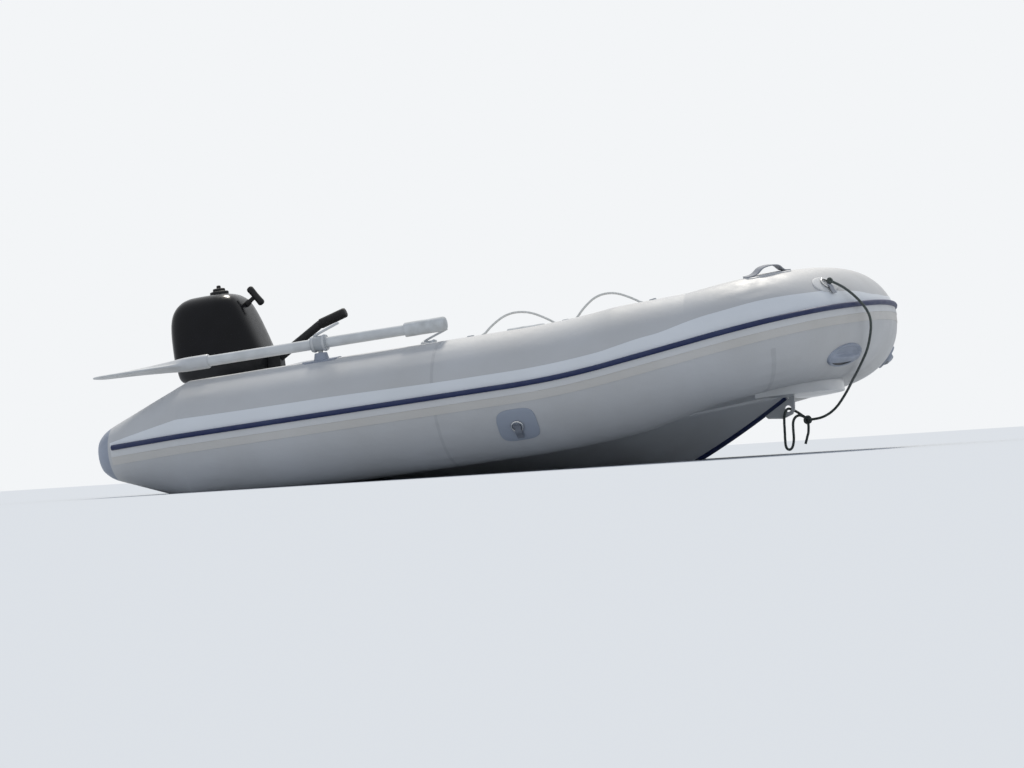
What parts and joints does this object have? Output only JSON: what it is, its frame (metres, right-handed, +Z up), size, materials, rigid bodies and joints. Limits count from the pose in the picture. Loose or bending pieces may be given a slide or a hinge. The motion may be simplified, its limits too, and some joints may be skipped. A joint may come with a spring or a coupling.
{
  "type": "rigid inflatable boat with outboard motor",
  "caption": "Small rigid inflatable tender with grey tubes, vee hull, stowed oars, grab ropes, bow painter and a tiller-steered outboard motor.",
  "frame": {"origin": "on the water surface at the middle of the waterplane, on the middle plane", "axes": "+X forward along the water, +Y to port, +Z up; the boat floats 4.5 degrees bow up"},
  "size_m": [2.6508, 1.6058, 1.1414],
  "materials": {
    "tube_fabric": "coated boat fabric, satin light grey",
    "strake_rubber": "navy blue rubber with grey edges",
    "hull_skin": "light grey gelcoat",
    "deck_skin": "grey anti-slip paint",
    "dark_rubber": "dark grey rubber",
    "grey_moulding": "grey moulded plastic",
    "steel": "stainless steel",
    "transom_board": "grey painted board",
    "rope_grey": "braided light grey rope",
    "painter_green": "dark braided rope",
    "oar_tube": "anodised grey tube",
    "oar_plastic": "light grey plastic",
    "motor_metal": "black motor paint",
    "motor_cowl": "glossy black cowl",
    "motor_block": "plain casting",
    "black_rubber": "black rubber",
    "grip_foam": "light grey foam rubber"
  },
  "bodies": {
    "root": {"tube_starboard": "tube_fabric", "tube_port": "tube_fabric", "tube_bow": "tube_fabric", "tail_caps": "dark_rubber", "rub_strake": "strake_rubber", "hull": "hull_skin", "deck": "deck_skin", "bow_step": "deck_skin", "keel_guard": "strake_rubber", "tow_eye": "hull_skin", "transom": "transom_board", "motor_pads": "dark_rubber", "drain_plug": "black_rubber", "transom_knees": "grey_moulding", "thwart": "grey_moulding", "thwart_holders": "dark_rubber", "grab_rope_starboard": "rope_grey", "grab_rope_port": "rope_grey", "grab_rope_saddles": "grey_moulding", "bow_ring_patches": "tube_fabric", "side_ring_patches": "grey_moulding", "rings": "steel", "lift_handles": "grey_moulding", "bow_straps": "dark_rubber", "valves": "grey_moulding", "oarlocks": "dark_rubber", "painter_rope": "painter_green", "painter_loop": "painter_green", "painter_tail": "painter_green", "painter_knot": "painter_green", "painter_hitch": "painter_green", "clamp_bracket": "motor_metal", "clamp_screws": "steel"},
    "swivel": {"swivel_bracket": "motor_metal"},
    "engine": {"motor_leg": "motor_metal", "gearcase": "motor_metal", "motor_pan": "motor_metal", "cowl": "motor_cowl", "engine_block": "motor_block", "fuel_cap": "black_rubber", "starter_handle": "black_rubber", "tiller_arm": "motor_metal", "tiller_grip": "black_rubber"},
    "propeller": {"propeller": "motor_metal"},
    "oar_starboard": {"oar_shaft_starboard": "oar_tube", "oar_collar_starboard": "oar_plastic", "oar_grip_starboard": "grip_foam", "oar_blade_starboard": "oar_plastic"},
    "oar_port": {"oar_shaft_port": "oar_tube", "oar_collar_port": "oar_plastic", "oar_grip_port": "grip_foam", "oar_blade_port": "oar_plastic"}
  },
  "joints": [
    {"name": "engine_tilt", "type": "hinge", "parent": "root", "child": "swivel", "pos_m": [-0.6041, 0, 0.28348], "axis": [0, 1, 0], "range_deg": [0, 64]},
    {"name": "steering", "type": "hinge", "parent": "swivel", "child": "engine", "pos_m": [-0.64991, 0, 0.16452], "axis": [-0.0785, 0, 0.9969], "range_deg": [-40, 40]},
    {"name": "propeller_spin", "type": "hinge", "parent": "engine", "child": "propeller", "pos_m": [-0.79825, 0, -0.30858], "axis": [0.9969, 0, 0.0785], "continuous": true},
    {"name": "oar_swing_starboard", "type": "hinge", "parent": "root", "child": "oar_starboard", "pos_m": [-0.12832, -0.6, 0.48342], "axis": [-0.0785, 0, 0.9969], "range_deg": [0, 95]},
    {"name": "oar_swing_port", "type": "hinge", "parent": "root", "child": "oar_port", "pos_m": [-0.12832, 0.6, 0.48342], "axis": [0.0785, 0, -0.9969], "range_deg": [0, 95]}
  ]
}
